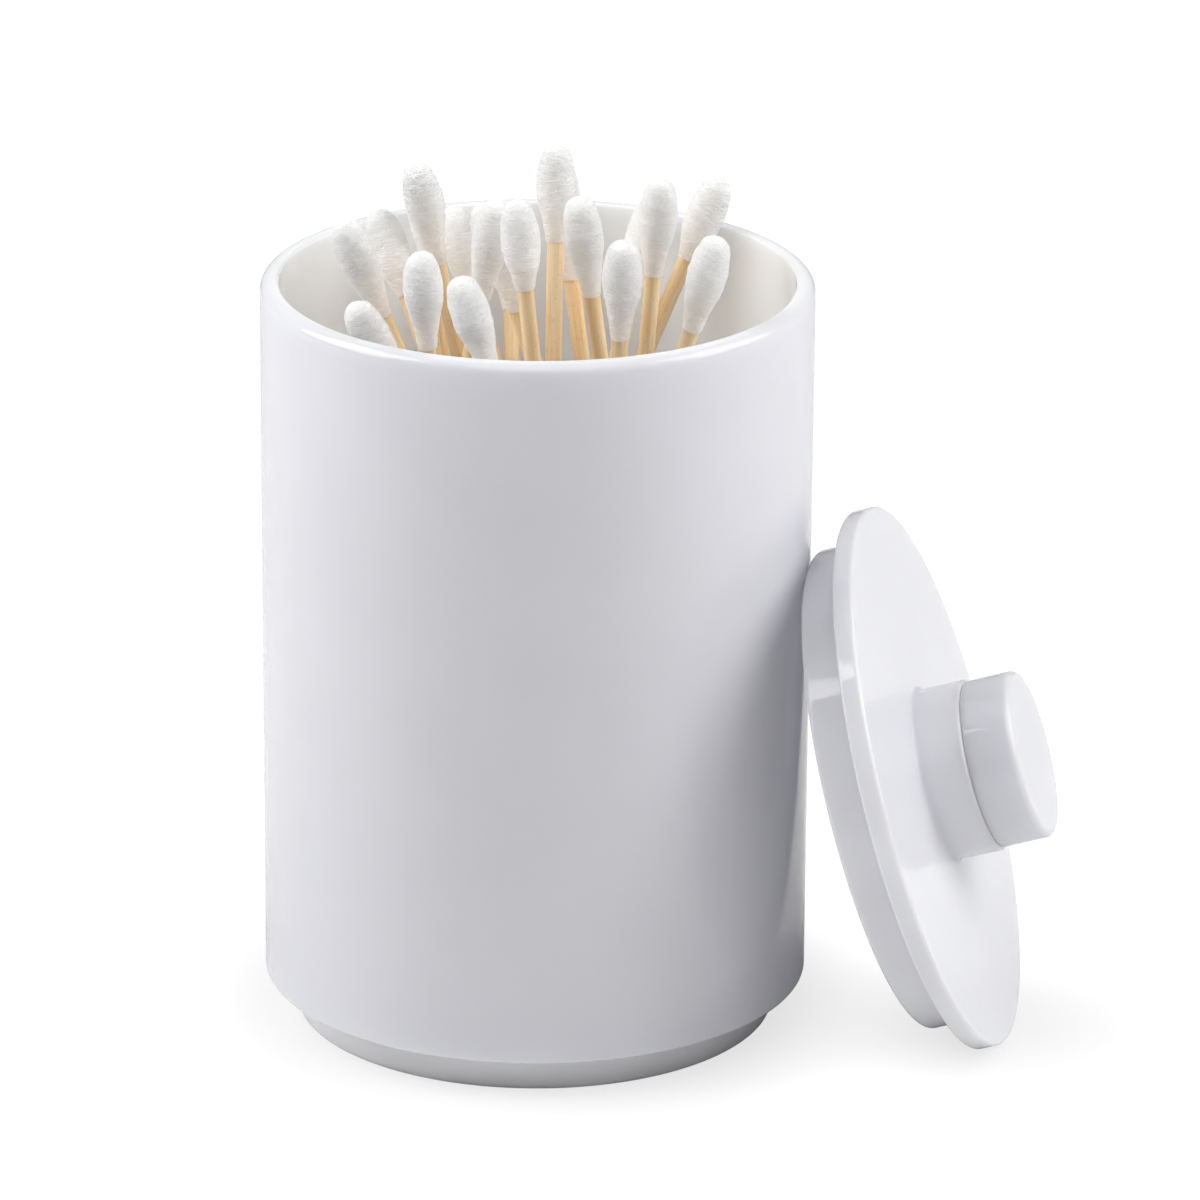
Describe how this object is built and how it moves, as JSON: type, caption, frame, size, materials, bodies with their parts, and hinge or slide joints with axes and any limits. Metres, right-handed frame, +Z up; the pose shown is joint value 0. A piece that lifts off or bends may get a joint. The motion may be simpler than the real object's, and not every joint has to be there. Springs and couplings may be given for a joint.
{
  "type": "cotton swab tub",
  "caption": "Tall round lidded tub full of long wooden cotton swabs that fan out over its rim; the lid is off and leans on the tub's side with its knob outwards.",
  "frame": {"origin": "centre of the underside of the tub's foot, on the surface it stands on", "axes": "+Z up along the tub's axis, -Y towards the front of the tub, the lid leans on its +X side"},
  "size_m": [0.1105, 0.0845, 0.1215],
  "materials": {
    "tub_plastic": "glossy white",
    "lid_plastic": "glossy white",
    "knob_plastic": "glossy white",
    "wood": "plain, fine grain",
    "cotton": "soft wound fibre"
  },
  "bodies": {
    "root": {"tub": "tub_plastic", "lid": "lid_plastic", "lid_knob": "knob_plastic", "swab_01_stick": "wood", "swab_01_cotton": "cotton", "swab_02_stick": "wood", "swab_02_cotton": "cotton", "swab_03_stick": "wood", "swab_03_cotton": "cotton", "swab_04_stick": "wood", "swab_04_cotton": "cotton", "swab_05_stick": "wood", "swab_05_cotton": "cotton", "swab_06_stick": "wood", "swab_06_cotton": "cotton", "swab_07_stick": "wood", "swab_07_cotton": "cotton", "swab_08_stick": "wood", "swab_08_cotton": "cotton", "swab_09_stick": "wood", "swab_09_cotton": "cotton", "swab_10_stick": "wood", "swab_10_cotton": "cotton", "swab_11_stick": "wood", "swab_11_cotton": "cotton", "swab_12_stick": "wood", "swab_12_cotton": "cotton", "swab_13_stick": "wood", "swab_13_cotton": "cotton", "swab_14_stick": "wood", "swab_14_cotton": "cotton", "swab_15_stick": "wood", "swab_15_cotton": "cotton", "swab_16_stick": "wood", "swab_16_cotton": "cotton", "swab_17_stick": "wood", "swab_17_cotton": "cotton", "swab_18_stick": "wood", "swab_18_cotton": "cotton", "swab_19_stick": "wood", "swab_19_cotton": "cotton", "swab_20_stick": "wood", "swab_20_cotton": "cotton"}
  },
  "joints": []
}
